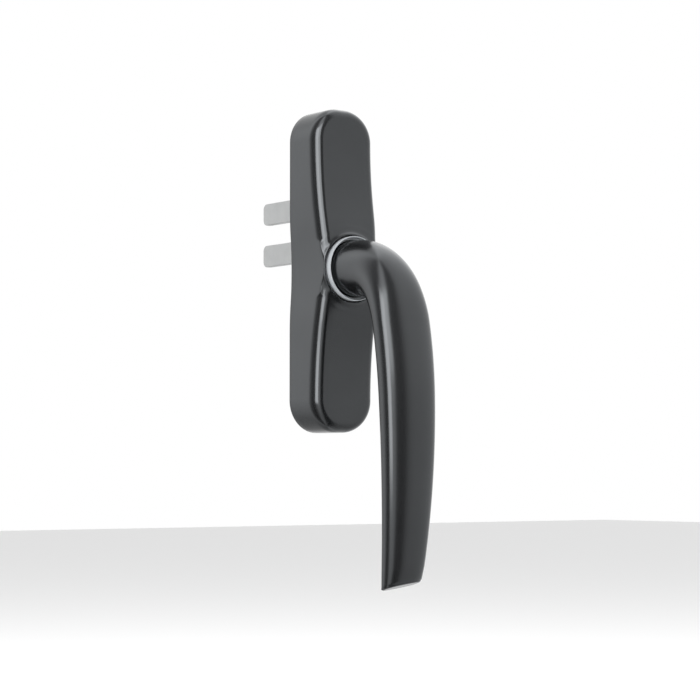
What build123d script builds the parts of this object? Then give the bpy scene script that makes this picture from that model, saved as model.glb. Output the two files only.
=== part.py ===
from build123d import *
from math import acos, atan2, copysign, cos, pi, radians, sin, tan
import os

# Tilt turn fork handle for a window: an arched lever on a slim cover, with a pinion inside that
# drives a carriage and its two prongs. Millimetres. +Z is up, the room is towards -Y, and the
# window profile is towards +Y. The origin is on the lever's axis, in the back face of the base.
# "Depth" below means the distance in front of that back face, towards the room.

os.makedirs("parts", exist_ok=True)

# ---- driving dimensions ----

# cover
BASE_LENGTH = 149.4
BASE_WIDTH = 34.0
WAIST = 1.0  # how far each long side pulls in at the middle
WAIST_HALF_LENGTH = 30.0
BASE_CORNER = 15.0
COVER_WALL = 1.6
COVER_DEPTH = 20.4  # at the flat ends
RISE_START = 60.0  # distance from the axis where the front starts to rise
RISE_RADIUS = 205.0  # of the hollow part of that rise; the crest's radius follows from it
FRONT_EDGE = 4.2  # rounding around the front
COLLAR_RIM = 25.5
COLLAR_RIM_RADIUS = 16.3
COLLAR_FOOT = 23.2
COLLAR_FOOT_RADIUS = 19.9
COLLAR_FALL = 2.5  # how steeply the collar drops away beyond its foot
COVER_OPENING = 15.5
OPENING_FROM = 21.9  # depth where the opening is cut out of the side walls too
COVER_FROM = 5.0  # depth where the collar's solid starts, inside the cover

# housing under the cover
BODY_HALF_WIDTH = 14.2
BODY_HALF_LENGTH = 71.8
BODY_CORNER = 12.6
BODY_DEPTH = 18.2
FRONT_WALL = 3.0
TOWER_RADIUS = 13.0
TOWER_DEPTH = 23.2
TOWER_BORE = 10.5
POCKET_HALF_LENGTH = 43.2
POCKET_LEFT = -12.4
POCKET_RIGHT = 13.3
PLATE = 1.5
PLATE_HALF_LENGTH = 50.0
PLATE_SCREW_X = 9.0
PLATE_SCREW_Z = 46.7
PLATE_SCREW_HEAD = 2.7
PLATE_SCREW_RADIUS = 1.25
PLATE_SCREW_LENGTH = 8.5
PLATE_SCREW_SUNK = 0.05  # that the heads sit below the back face
CROSS_LENGTH, CROSS_WIDTH, CROSS_DEPTH = 4.0, 0.7, 1.6  # the slots in those heads
SLOT_HALF_WIDTH = 2.1
SLOT_MARGIN = 0.7  # beyond the prongs at both ends of their travel
SLOT_CORNER = 0.6
END_RUNNING_GAP = 0.2  # between the carriage and each end of its pocket
FIT_GAP = 0.1  # between parts that slide past or sit inside each other
SNUG_GAP = 0.02  # between parts that are pressed together

# fixing screws: M5 thread behind the base, waisted shank and countersunk head inside it
FIXING_SPACING = 116.0
FIXING_RADIUS = 2.5
FIXING_REACH = 12.0
FIXING_SHANK = 2.1
FIXING_HEAD = 4.75
FIXING_HEAD_DEPTH = 18.1
FIXING_HOLE = 2.75
FIXING_BOSS = 5.8
FIXING_LEAD = 0.7  # chamfer on the end of the thread
HEX_RADIUS, HEX_DEPTH = 1.75, 2.4  # corner radius and depth of the socket
SEAL_FROM, SEAL_THICK = 3.0, 1.6
END_POCKET_FROM, END_POCKET_TO = 51.8, 69.8
END_POCKET_HALF_WIDTH = 11.4
END_POCKET_CORNER = 5.0

# drive
MODULE = 1.0
PINION_TEETH = 22
PRESSURE_ANGLE = radians(20)
ROOT_CLEARANCE = 0.25  # of a module, beyond the mating tip
BACKLASH = 0.16
TURN = radians(180)
GEAR_FROM, GEAR_TO = 4.5, 9.6  # depth of the teeth
CAM_RADIUS = 8.6
CAM_TO = 12.6
CLICKS = 4
CLICK_DEPTH = 0.9
CLICK_CUTTER = 3.2
CARRIAGE_FROM, CARRIAGE_TO = 1.7, 4.2
CARRIAGE_LEFT = -8.0
GLIDE_LEFT = -12.3
TAB_SPACING, TAB_REACH, TAB_WIDTH = 16.0, 2.0, 4.0  # where the glide grips the carriage
RACK_TO = 10.0
RACK_BACK = 13.2
SPRING_FROM, SPRING_TO = 10.5, 12.8
SPRING_STRIP = 0.6
SPRING_X = 9.0
SPRING_BUMP = 0.65
SPRING_BUMP_HALF = 3.0
SPRING_HALF_LENGTH = 21.5
POST_HALF = 2.0
POST_HALF_WIDTH = 2.3

# fork
PRONG_WIDTH = 10.4
PRONG_PITCH = 20.2
PRONG_THICK = 3.0
PRONG_REACH = 43.5
PRONG_CORNER = 2.6
PRONG_SHOULDER = 1.0  # that the root is narrower on each edge, inside the carriage
FORK_HEIGHT = 21.2  # middle of the fork above the axis while the lever points down

# lever bearing
NECK_RADIUS = 12.9
NECK_FROM = 24.9
SPIGOT_RADIUS = 9.0
SPIGOT_FROM = 12.9
BUSH_BORE = 9.05
BUSH_FLANGE = 12.6
BUSH_TO = 24.2
SPINDLE_SIDE = 8.0
SPINDLE_FROM, SPINDLE_TO = 4.6, 38.0
SPINDLE_CHAMFER = 0.6
PIN_RADIUS = 1.5
PIN_BORE = 0.9
PIN_SLIT = 0.5
PIN_HALF_LENGTH = 8.8
PIN_DEPTH = 19.0
GROOVE_RADIUS = 8.2
GROOVE_FROM, GROOVE_TO = 13.7, 14.6
CIRCLIP_RADIUS = 10.9
CIRCLIP_GAP, CIRCLIP_GAP_HEIGHT = 4.5, 8.0  # the opening between its ends
CIRCLIP_THIN = 0.05  # that it is thinner than its groove, on each face
LUG_X, LUG_DROP, LUG_RADIUS, LUG_HOLE = 4.1, 0.6, 1.8, 0.7
WASHER_RADIUS = 11.6
WASHER_GAP = 0.08
WAVE_BORE, WAVE_RADIUS = 9.3, 12.4
RING_RADIUS = 14.8
RING_LIP = 0.6
RING_SKIRT = 13.95
RING_MOUTH = 13.4  # bore of the part that stands around the lever's neck
RING_ROUNDING = 0.25
RING_FROM, RING_FLANGE_FROM, RING_FLANGE_TO, RING_TO = 19.5, 25.8, 26.7, 28.4

# clips that hold the cover
CLIP_STRIP = 0.5
CLIP_WIDTH = 7.0
CLIP_Z = 47.0
CLIP_BARB = 0.55
CLIP_CLEAR = 0.05
LEG_END, BARB_DEPTH, BARB_TOP = 6.5, 9.0, 11.5  # depths along each leg

# lever. Its middle line leaves the neck straight and turns down through five arcs. Lean is the
# middle line's angle from straight down, so it is 90 degrees at the neck.
LEVER_STRAIGHT = 2.5
LEVER_ARCS = (  # radius, and lean where the arc ends
    (54.6, 78.5),
    (27.2, 32.0),
    (41.7, 11.0),
    (223.0, 2.6),
    (437.0, -8.33),
)
THINS_FROM, THINS_TO = 8.0, 52.0  # lengths along the line where the neck flattens into the grip
WIDENS_FROM, WIDENS_TO = 16.0, 50.0
GRIP_HALF_WIDTH = 14.45
GRIP_HALF_THICK = 7.15
TIP_HALF_WIDTH = 10.2
TIP_HALF_THICK = 4.65
NECK_SQUARENESS = 2.0  # an ellipse
GRIP_SQUARENESS = 2.6  # an ellipse that fills out towards a rectangle
TIP_SLANT = 17.5  # degrees that the end face rises towards the room
TIP_SIDE_SLANT = 7.0  # degrees that it rises across, from left to right as the room sees it
LEVER_SECTIONS = 14
SECTION_POINTS = 20

# ---- worked out ----
PITCH_RADIUS = MODULE * PINION_TEETH / 2
TRAVEL = PITCH_RADIUS * TURN
CARRIAGE_TOP = POCKET_HALF_LENGTH - END_RUNNING_GAP
CARRIAGE_BOTTOM = TRAVEL + END_RUNNING_GAP - POCKET_HALF_LENGTH
CARRIAGE_MIDDLE = (CARRIAGE_TOP + CARRIAGE_BOTTOM) / 2
CARRIAGE_LENGTH = CARRIAGE_TOP - CARRIAGE_BOTTOM
PRONG_UPPER = FORK_HEIGHT + PRONG_PITCH / 2
PRONG_LOWER = FORK_HEIGHT - PRONG_PITCH / 2
POCKET_TO = BODY_DEPTH - FRONT_WALL
RACK_ROOT = PITCH_RADIUS + MODULE * (1 + ROOT_CLEARANCE)
TABS = (CARRIAGE_MIDDLE - TAB_SPACING, CARRIAGE_MIDDLE, CARRIAGE_MIDDLE + TAB_SPACING)
ENDS = (1, -1)
SIDE_VIEW = Plane(origin=(0, 0, 0), x_dir=(0, 0, 1), z_dir=(-1, 0, 0))


def front(depth):
    """Plane that faces the room, this far in front of the back face; its x and y are X and Z."""
    return Plane.XZ.offset(depth)


def save(piece, name):
    """Label one finished piece and write it as its own STEP file."""
    piece.label = name
    export_step(piece, f"parts/{name}.step")
    print(f"{name:22} {len(piece.solids())} solid, {piece.volume / 1000:8.3f} cm3")


def base_outline(inset):
    """The cover's outline seen from the room, drawn inward by inset: long, with a slight waist."""
    half_w = BASE_WIDTH / 2 - inset
    half_l = BASE_LENGTH / 2 - inset
    corner = BASE_CORNER - inset
    shoulder = half_l - corner
    waist = half_w - WAIST
    with BuildLine() as line:
        for side in ENDS:
            for end in ENDS:
                Line((side * half_w, end * shoulder), (side * half_w, end * WAIST_HALF_LENGTH))
                Bezier(
                    (side * half_w, end * WAIST_HALF_LENGTH),
                    (side * half_w, end * WAIST_HALF_LENGTH / 2),
                    (side * waist, end * WAIST_HALF_LENGTH / 2),
                    (side * waist, 0),
                )
                TangentArc(
                    (side * half_w, end * shoulder),
                    (side * (half_w - corner), end * half_l),
                    tangent=(0, end),
                )
        for end in ENDS:
            Line((corner - half_w, end * half_l), (half_w - corner, end * half_l))
    return line.line


def front_profile(drop):
    """Side view of the cover's front, lowered by drop: x is Z, and y is Y."""
    flat = COVER_DEPTH - drop
    rise = COLLAR_RIM - COVER_DEPTH
    lean = 2 * atan2(rise, RISE_START)  # of the line where the hollow meets the crest
    hollow_end = RISE_START - RISE_RADIUS * sin(lean)
    hollow_top = flat + RISE_RADIUS * (1 - cos(lean))
    reach = BASE_LENGTH
    with BuildLine() as line:
        for end in ENDS:
            Polyline(
                (0, reach),
                (end * reach, reach),
                (end * reach, -flat),
                (end * RISE_START, -flat),
            )
            joint = (end * hollow_end, -hollow_top)
            TangentArc((end * RISE_START, -flat), joint, tangent=(-end, 0))
            TangentArc((0, -flat - rise), joint, tangent=(end, 0))
    return line.line


def arched_block(inset, drop):
    """A solid with the cover's outline and its rising front."""
    with BuildPart() as block:
        with BuildSketch(front(0)):
            with BuildLine():
                add(base_outline(inset))
            make_face()
        extrude(amount=COLLAR_RIM + 1)
        with BuildSketch(SIDE_VIEW):
            with BuildLine():
                add(front_profile(drop))
            make_face()
        extrude(amount=BASE_WIDTH, both=True, mode=Mode.INTERSECT)
    return block.part


def tube(inner, outer, start, stop):
    """A plain ring about the lever's axis, between two depths."""
    with BuildPart() as ring:
        with BuildSketch(front(start)):
            Circle(outer)
            Circle(inner, mode=Mode.SUBTRACT)
        extrude(amount=stop - start)
    return ring.part


# ---- cover ----
def is_seam(edge):
    """True for the lines that run across the front, where its arcs meet."""
    return abs(edge.center().X) < 0.01 and abs(edge.center().Z) < BASE_LENGTH / 2 - 0.01


with BuildPart() as cover:
    add(arched_block(0, 0))
    rim_edges = cover.edges().filter_by(lambda e: e.bounding_box().max.Y < 0.01 - COVER_DEPTH)
    fillet(rim_edges.filter_by(lambda e: not is_seam(e)), FRONT_EDGE)
    with BuildSketch(Plane.XY):
        with BuildLine():
            Polyline((0, -COLLAR_RIM), (COLLAR_RIM_RADIUS, -COLLAR_RIM))
            foot = (COLLAR_FOOT_RADIUS, -COLLAR_FOOT)
            TangentArc(foot, (COLLAR_RIM_RADIUS, -COLLAR_RIM), tangent=(-1, 0))
            skirt = COLLAR_FOOT_RADIUS + (COLLAR_FOOT - COVER_DEPTH) / COLLAR_FALL
            Polyline(
                foot,
                (skirt, -COVER_DEPTH),
                (skirt, -COVER_FROM),
                (0, -COVER_FROM),
                (0, -COLLAR_RIM),
            )
        make_face()
    revolve(axis=Axis.Y)
    with BuildSketch(front(0)):
        with BuildLine():
            add(base_outline(0))
        make_face()
    extrude(amount=COLLAR_RIM + 1, mode=Mode.INTERSECT)
    add(arched_block(COVER_WALL, COVER_WALL), mode=Mode.SUBTRACT)
    with BuildSketch(front(OPENING_FROM)):
        Circle(COVER_OPENING)
    extrude(amount=COLLAR_RIM - OPENING_FROM + 1, mode=Mode.SUBTRACT)
save(cover.part, "cover")

# ---- housing ----
with BuildPart() as body:
    with BuildSketch(front(0)):
        RectangleRounded(2 * BODY_HALF_WIDTH, 2 * BODY_HALF_LENGTH, BODY_CORNER)
    extrude(amount=BODY_DEPTH)
    with BuildSketch(front(POCKET_TO)):
        Circle(TOWER_RADIUS)
    extrude(amount=TOWER_DEPTH - POCKET_TO)
    pocket_middle = (POCKET_LEFT + POCKET_RIGHT) / 2
    pocket_width = POCKET_RIGHT - POCKET_LEFT
    with BuildSketch(front(0)):
        with Locations((pocket_middle, 0)):
            Rectangle(pocket_width, 2 * POCKET_HALF_LENGTH)
    extrude(amount=POCKET_TO, mode=Mode.SUBTRACT)
    with BuildSketch(front(0)):
        with Locations((pocket_middle, 0)):
            Rectangle(pocket_width, 2 * (PLATE_HALF_LENGTH + FIT_GAP))
    extrude(amount=PLATE, mode=Mode.SUBTRACT)
    with BuildSketch(front(0)):
        for end in ENDS:
            with Locations((0, end * (END_POCKET_FROM + END_POCKET_TO) / 2)):
                RectangleRounded(
                    2 * END_POCKET_HALF_WIDTH,
                    END_POCKET_TO - END_POCKET_FROM,
                    END_POCKET_CORNER,
                )
            with Locations((0, end * FIXING_SPACING / 2)):
                Circle(FIXING_BOSS, mode=Mode.SUBTRACT)
    extrude(amount=POCKET_TO, mode=Mode.SUBTRACT)
    # posts that carry the ends of the click springs
    with BuildSketch(front(SPRING_FROM - FIT_GAP)):
        for side in ENDS:
            for end in ENDS:
                with Locations((side * SPRING_X, end * (SPRING_HALF_LENGTH - POST_HALF + 1))):
                    Rectangle(2 * POST_HALF_WIDTH, 2 * POST_HALF)
                    Rectangle(SPRING_STRIP + FIT_GAP, 2 * POST_HALF, mode=Mode.SUBTRACT)
    extrude(amount=POCKET_TO - SPRING_FROM + FIT_GAP)
    with BuildSketch(front(0)):
        Circle(TOWER_BORE)
    extrude(amount=TOWER_DEPTH + 1, mode=Mode.SUBTRACT)
    with BuildSketch(front(0)):
        with GridLocations(1, FIXING_SPACING, 1, 2):
            Circle(FIXING_HOLE)
    extrude(amount=BODY_DEPTH, mode=Mode.SUBTRACT)
    with BuildSketch(front(0)):
        with GridLocations(2 * PLATE_SCREW_X, 2 * PLATE_SCREW_Z, 2, 2):
            Circle(PLATE_SCREW_RADIUS)
    extrude(amount=PLATE_SCREW_LENGTH + 0.5, mode=Mode.SUBTRACT)
    for end in ENDS:
        with Locations(front(BODY_DEPTH).location * Location((0, end * FIXING_SPACING / 2, 0))):
            sink = FIXING_HEAD + FIT_GAP
            Cone(0, sink, sink, align=(Align.CENTER, Align.CENTER, Align.MAX), mode=Mode.SUBTRACT)
save(body.part, "body")

with BuildPart() as back_plate:
    plate_width = pocket_width - 2 * FIT_GAP
    with BuildSketch(front(0)):
        with Locations((pocket_middle, 0)):
            Rectangle(plate_width, 2 * PLATE_HALF_LENGTH)
        slot_top = PRONG_UPPER + PRONG_WIDTH / 2 + SLOT_MARGIN
        slot_bottom = PRONG_LOWER - PRONG_WIDTH / 2 - TRAVEL - SLOT_MARGIN
        with Locations((0, (slot_top + slot_bottom) / 2)):
            RectangleRounded(
                2 * SLOT_HALF_WIDTH,
                slot_top - slot_bottom,
                SLOT_CORNER,
                mode=Mode.SUBTRACT,
            )
    extrude(amount=PLATE)
    for x in (-PLATE_SCREW_X, PLATE_SCREW_X):
        for z in (-PLATE_SCREW_Z, PLATE_SCREW_Z):
            with Locations(Location((x, 0, z), (90, 0, 0))):
                Cone(
                    PLATE_SCREW_HEAD + FIT_GAP,
                    PLATE_SCREW_HEAD + FIT_GAP - PLATE,
                    PLATE,
                    align=(Align.CENTER, Align.CENTER, Align.MIN),
                    mode=Mode.SUBTRACT,
                )
save(back_plate.part, "back_plate")

with BuildPart() as back_plate_screws:
    head_depth = PLATE_SCREW_HEAD - PLATE_SCREW_RADIUS
    for x in (-PLATE_SCREW_X, PLATE_SCREW_X):
        for z in (-PLATE_SCREW_Z, PLATE_SCREW_Z):
            with Locations(Location((x, -PLATE_SCREW_SUNK, z), (90, 0, 0))):
                Cone(
                    PLATE_SCREW_HEAD,
                    PLATE_SCREW_RADIUS,
                    head_depth,
                    align=(Align.CENTER, Align.CENTER, Align.MIN),
                )
                Cylinder(
                    PLATE_SCREW_RADIUS,
                    PLATE_SCREW_LENGTH,
                    align=(Align.CENTER, Align.CENTER, Align.MIN),
                )
                Box(CROSS_WIDTH, CROSS_LENGTH, CROSS_DEPTH, mode=Mode.SUBTRACT)
                Box(CROSS_LENGTH, CROSS_WIDTH, CROSS_DEPTH, mode=Mode.SUBTRACT)
save(back_plate_screws.part, "back_plate_screws")

with BuildPart() as fixing_screws:
    for end in ENDS:
        neck_depth = FIXING_HEAD_DEPTH - (FIXING_HEAD - FIXING_SHANK)
        with BuildSketch(Plane.XY.offset(end * FIXING_SPACING / 2)):
            Polygon(
                (0, FIXING_REACH),
                (FIXING_RADIUS - FIXING_LEAD, FIXING_REACH),
                (FIXING_RADIUS, FIXING_REACH - FIXING_LEAD),
                (FIXING_RADIUS, 0),
                (FIXING_SHANK, 0),
                (FIXING_SHANK, -neck_depth),
                (FIXING_HEAD, -FIXING_HEAD_DEPTH),
                (0, -FIXING_HEAD_DEPTH),
                align=None,
            )
        revolve(axis=Axis((0, 0, end * FIXING_SPACING / 2), (0, 1, 0)))
        with BuildSketch(front(FIXING_HEAD_DEPTH - HEX_DEPTH)):
            with Locations((0, end * FIXING_SPACING / 2)):
                RegularPolygon(HEX_RADIUS, 6)
        extrude(amount=HEX_DEPTH, mode=Mode.SUBTRACT)
save(fixing_screws.part, "fixing_screws")

with BuildPart() as screw_seals:
    with BuildSketch(front(SEAL_FROM)):
        for end in ENDS:
            with Locations((0, end * FIXING_SPACING / 2)):
                Circle(FIXING_HOLE - SNUG_GAP)
                Circle(FIXING_SHANK, mode=Mode.SUBTRACT)
    extrude(amount=SEAL_THICK)
save(screw_seals.part, "screw_seals")

for end, name in ((1, "cover_clip_upper"), (-1, "cover_clip_lower")):
    with BuildPart() as cover_clip:
        with BuildSketch(Plane.XY.offset(end * CLIP_Z - CLIP_WIDTH / 2)):
            with BuildLine():
                leg = BODY_HALF_WIDTH + CLIP_STRIP / 2 + CLIP_CLEAR
                top = -BODY_DEPTH - CLIP_STRIP / 2
                Polyline(
                    (-leg, -LEG_END),
                    (-leg - CLIP_BARB, -BARB_DEPTH),
                    (-leg, -BARB_TOP),
                    (-leg, top),
                    (leg, top),
                    (leg, -BARB_TOP),
                    (leg + CLIP_BARB, -BARB_DEPTH),
                    (leg, -LEG_END),
                )
            trace(line_width=CLIP_STRIP)
        extrude(amount=CLIP_WIDTH)
    save(cover_clip.part, name)


# ---- drive ----
def involute(angle):
    return tan(angle) - angle


def tooth_half_angle(radius):
    """Half the angle that a pinion tooth fills at this radius."""
    base = PITCH_RADIUS * cos(PRESSURE_ANGLE)
    at_pitch = (pi * MODULE / 2 - BACKLASH) / (2 * PITCH_RADIUS)
    here = acos(min(1.0, base / radius))
    return at_pitch + involute(PRESSURE_ANGLE) - involute(here)


def pinion_outline():
    """Corner points of the toothed wheel, one tooth after another, with a gap facing the rack."""
    root = PITCH_RADIUS - MODULE * (1 + ROOT_CLEARANCE)
    tip = PITCH_RADIUS + MODULE
    radii = [root + (tip - root) * step / 4 for step in range(5)]
    points = []
    for tooth in range(PINION_TEETH):
        middle = 2 * pi * (tooth + 0.5) / PINION_TEETH
        flank = [(r, tooth_half_angle(r)) for r in radii]
        for radius, half in flank:
            points.append((radius * cos(middle - half), radius * sin(middle - half)))
        for radius, half in reversed(flank):
            points.append((radius * cos(middle + half), radius * sin(middle + half)))
    return points


with BuildPart() as drive_pinion:
    with BuildSketch(front(GEAR_FROM)):
        with BuildLine():
            Polyline(*pinion_outline(), close=True)
        make_face()
    extrude(amount=GEAR_TO - GEAR_FROM)
    with BuildSketch(front(GEAR_TO)):
        Circle(CAM_RADIUS)
        with PolarLocations(CAM_RADIUS - CLICK_DEPTH + CLICK_CUTTER, CLICKS):
            Circle(CLICK_CUTTER, mode=Mode.SUBTRACT)
    extrude(amount=CAM_TO - GEAR_TO)
    with BuildSketch(front(GEAR_FROM)):
        Rectangle(SPINDLE_SIDE + FIT_GAP, SPINDLE_SIDE + FIT_GAP)
    extrude(amount=CAM_TO - GEAR_FROM, mode=Mode.SUBTRACT)
save(drive_pinion.part, "drive_pinion")


def rack_outline():
    """Corner points of the toothed bar: straight flanks on the side that faces the pinion."""
    pitch = pi * MODULE
    half = (pitch / 2 - BACKLASH / 2) / 2
    slope = tan(PRESSURE_ANGLE)
    tip_half = half - MODULE * slope
    root_half = half + (RACK_ROOT - PITCH_RADIUS) * slope
    first = int(CARRIAGE_BOTTOM / pitch)
    last = int(CARRIAGE_TOP / pitch) - 1
    points = [(RACK_BACK, CARRIAGE_BOTTOM), (RACK_ROOT, CARRIAGE_BOTTOM)]
    for tooth in range(first, last + 1):
        z = tooth * pitch
        points += [
            (RACK_ROOT, z - root_half),
            (PITCH_RADIUS - MODULE, z - tip_half),
            (PITCH_RADIUS - MODULE, z + tip_half),
            (RACK_ROOT, z + root_half),
        ]
    points += [(RACK_ROOT, CARRIAGE_TOP), (RACK_BACK, CARRIAGE_TOP)]
    return points


with BuildPart() as drive_rack:
    with BuildSketch(front(CARRIAGE_FROM)):
        with Locations(((CARRIAGE_LEFT + RACK_BACK) / 2, CARRIAGE_MIDDLE)):
            Rectangle(RACK_BACK - CARRIAGE_LEFT, CARRIAGE_LENGTH)
        for z in (PRONG_UPPER, PRONG_LOWER):
            with Locations((0, z)):
                Rectangle(PRONG_THICK, PRONG_WIDTH - 2 * PRONG_SHOULDER, mode=Mode.SUBTRACT)
        for z in TABS:
            with Locations((CARRIAGE_LEFT + TAB_REACH / 2, z)):
                Rectangle(TAB_REACH, TAB_WIDTH, mode=Mode.SUBTRACT)
    extrude(amount=CARRIAGE_TO - CARRIAGE_FROM)
    with BuildSketch(front(CARRIAGE_TO)):
        with BuildLine():
            Polyline(*rack_outline(), close=True)
        make_face()
    extrude(amount=RACK_TO - CARRIAGE_TO)
save(drive_rack.part, "drive_rack")

with BuildPart() as carriage_glide:
    with BuildSketch(front(CARRIAGE_FROM)):
        with Locations(((GLIDE_LEFT + CARRIAGE_LEFT) / 2, CARRIAGE_MIDDLE)):
            Rectangle(CARRIAGE_LEFT - GLIDE_LEFT, CARRIAGE_LENGTH)
        for z in TABS:
            with Locations((CARRIAGE_LEFT + TAB_REACH / 2, z)):
                Rectangle(TAB_REACH, TAB_WIDTH)
    extrude(amount=CARRIAGE_TO - CARRIAGE_FROM)
save(carriage_glide.part, "carriage_glide")

for z, name in ((PRONG_UPPER, "fork_prong_upper"), (PRONG_LOWER, "fork_prong_lower")):
    with BuildPart() as fork_prong:
        with BuildSketch(Plane.YZ.offset(-PRONG_THICK / 2)) as blade:
            with Locations(((PRONG_REACH - CARRIAGE_FROM) / 2, z)):
                Rectangle(PRONG_REACH + CARRIAGE_FROM, PRONG_WIDTH)
            fillet(blade.vertices().group_by(Axis.X)[-1], PRONG_CORNER)
            with Locations((-(CARRIAGE_FROM + CARRIAGE_TO) / 2, z)):
                Rectangle(CARRIAGE_TO - CARRIAGE_FROM, PRONG_WIDTH - 2 * PRONG_SHOULDER)
        extrude(amount=PRONG_THICK)
    save(fork_prong.part, name)

for side, name in ((-1, "click_spring_left"), (1, "click_spring_right")):
    with BuildPart() as click_spring:
        with BuildSketch(front(SPRING_FROM)):
            with BuildLine():
                Polyline(
                    (side * SPRING_X, -SPRING_HALF_LENGTH),
                    (side * SPRING_X, -SPRING_BUMP_HALF),
                    (side * (SPRING_X - SPRING_BUMP), 0),
                    (side * SPRING_X, SPRING_BUMP_HALF),
                    (side * SPRING_X, SPRING_HALF_LENGTH),
                )
            trace(line_width=SPRING_STRIP)
        extrude(amount=SPRING_TO - SPRING_FROM)
    save(click_spring.part, name)

# ---- lever bearing ----
with BuildPart() as neck_bush:
    add(tube(BUSH_BORE, TOWER_BORE, POCKET_TO, TOWER_DEPTH))
    add(tube(BUSH_BORE, BUSH_FLANGE, TOWER_DEPTH, BUSH_TO))
save(neck_bush.part, "neck_bush")

with BuildPart() as wave_washer:
    add(tube(WAVE_BORE, WAVE_RADIUS, BUSH_TO + FIT_GAP, NECK_FROM - FIT_GAP))
save(wave_washer.part, "wave_washer")

with BuildPart() as thrust_washer:
    add(tube(BUSH_BORE, WASHER_RADIUS, GROOVE_TO + SNUG_GAP, POCKET_TO - WASHER_GAP))
save(thrust_washer.part, "thrust_washer")

with BuildPart() as retaining_ring:
    with BuildSketch(front(GROOVE_FROM + CIRCLIP_THIN)):
        Circle(CIRCLIP_RADIUS)
        with Locations((0, -CIRCLIP_RADIUS)):
            Rectangle(CIRCLIP_GAP, CIRCLIP_GAP_HEIGHT, mode=Mode.SUBTRACT)
        for side in ENDS:
            with Locations((side * LUG_X, -GROOVE_RADIUS - LUG_DROP)):
                Circle(LUG_RADIUS)
                Circle(LUG_HOLE, mode=Mode.SUBTRACT)
        Circle(GROOVE_RADIUS + SNUG_GAP, mode=Mode.SUBTRACT)
    extrude(amount=GROOVE_TO - GROOVE_FROM - 2 * CIRCLIP_THIN)
save(retaining_ring.part, "retaining_ring")

with BuildPart() as neck_ring:
    add(tube(TOWER_RADIUS, RING_SKIRT, RING_FROM, TOWER_DEPTH))
    add(tube(RING_MOUTH, RING_SKIRT, TOWER_DEPTH, RING_FLANGE_FROM))
    add(tube(RING_MOUTH, RING_RADIUS, RING_FLANGE_FROM, RING_FLANGE_TO))
    add(tube(RING_RADIUS - RING_LIP, RING_RADIUS, RING_FLANGE_TO, RING_TO))
    lip_edges = neck_ring.edges().group_by(Axis.Y)[0]
    fillet(lip_edges, RING_ROUNDING)
save(neck_ring.part, "neck_ring")

with BuildPart() as spindle:
    with BuildSketch(front(SPINDLE_FROM)):
        Rectangle(SPINDLE_SIDE, SPINDLE_SIDE)
    extrude(amount=SPINDLE_TO - SPINDLE_FROM)
    chamfer(spindle.faces().filter_by(Axis.Y).edges(), SPINDLE_CHAMFER)
    with Locations(Location((0, -PIN_DEPTH, 0), (0, 90, 0))):
        Cylinder(PIN_RADIUS, 2 * SPINDLE_SIDE, mode=Mode.SUBTRACT)
save(spindle.part, "spindle")

with BuildPart() as spindle_pin:
    with Locations(Location((0, -PIN_DEPTH, 0), (0, 90, 0))):
        Cylinder(PIN_RADIUS, 2 * PIN_HALF_LENGTH)
        Cylinder(PIN_BORE, 2 * PIN_HALF_LENGTH, mode=Mode.SUBTRACT)
        with Locations((PIN_RADIUS, 0, 0)):
            Box(PIN_RADIUS, PIN_SLIT, 2 * PIN_HALF_LENGTH, mode=Mode.SUBTRACT)
save(spindle_pin.part, "spindle_pin")


# ---- lever ----
def ease(value, start, stop):
    """Smooth step from 0 at start to 1 at stop."""
    t = min(max((value - start) / (stop - start), 0), 1)
    return t * t * (3 - 2 * t)


def lever_length():
    """Length of the lever's middle line."""
    length, lean = LEVER_STRAIGHT, 90.0
    for radius, end_lean in LEVER_ARCS:
        length += radius * radians(lean - end_lean)
        lean = end_lean
    return length


def middle_line(along):
    """Depth, height and lean of the lever's middle line, this far along it."""
    depth, height, lean = NECK_FROM + min(along, LEVER_STRAIGHT), 0.0, pi / 2
    left = along - LEVER_STRAIGHT
    for radius, end_lean in LEVER_ARCS:
        if left <= 0:
            break
        turned = min(left / radius, lean - radians(end_lean))
        depth += radius * (cos(lean - turned) - cos(lean))
        height -= radius * (sin(lean) - sin(lean - turned))
        lean -= turned
        left -= radius * turned
    return depth, height, lean


def section_size(along):
    """Half width, half thickness and squareness of the lever's section."""
    thinned = ease(along, THINS_FROM, THINS_TO)
    widened = ease(along, WIDENS_FROM, WIDENS_TO)
    taper = max(0.0, (along - THINS_TO) / (lever_length() - THINS_TO)) ** 2
    width = NECK_RADIUS + (GRIP_HALF_WIDTH - NECK_RADIUS) * widened
    thick = NECK_RADIUS + (GRIP_HALF_THICK - NECK_RADIUS) * thinned
    return (
        width - (GRIP_HALF_WIDTH - TIP_HALF_WIDTH) * taper,
        thick - (GRIP_HALF_THICK - TIP_HALF_THICK) * taper,
        NECK_SQUARENESS + (GRIP_SQUARENESS - NECK_SQUARENESS) * thinned,
    )


def section_points(half_width, half_thick, squareness):
    """Points around a section that goes from an ellipse (squareness 2) towards a rectangle."""
    points = []
    for step in range(SECTION_POINTS):
        turn = 2 * pi * step / SECTION_POINTS
        x = copysign(abs(cos(turn)) ** (2 / squareness), cos(turn)) * half_width
        y = copysign(abs(sin(turn)) ** (2 / squareness), sin(turn)) * half_thick
        points.append((x, y))
    return points


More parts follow.
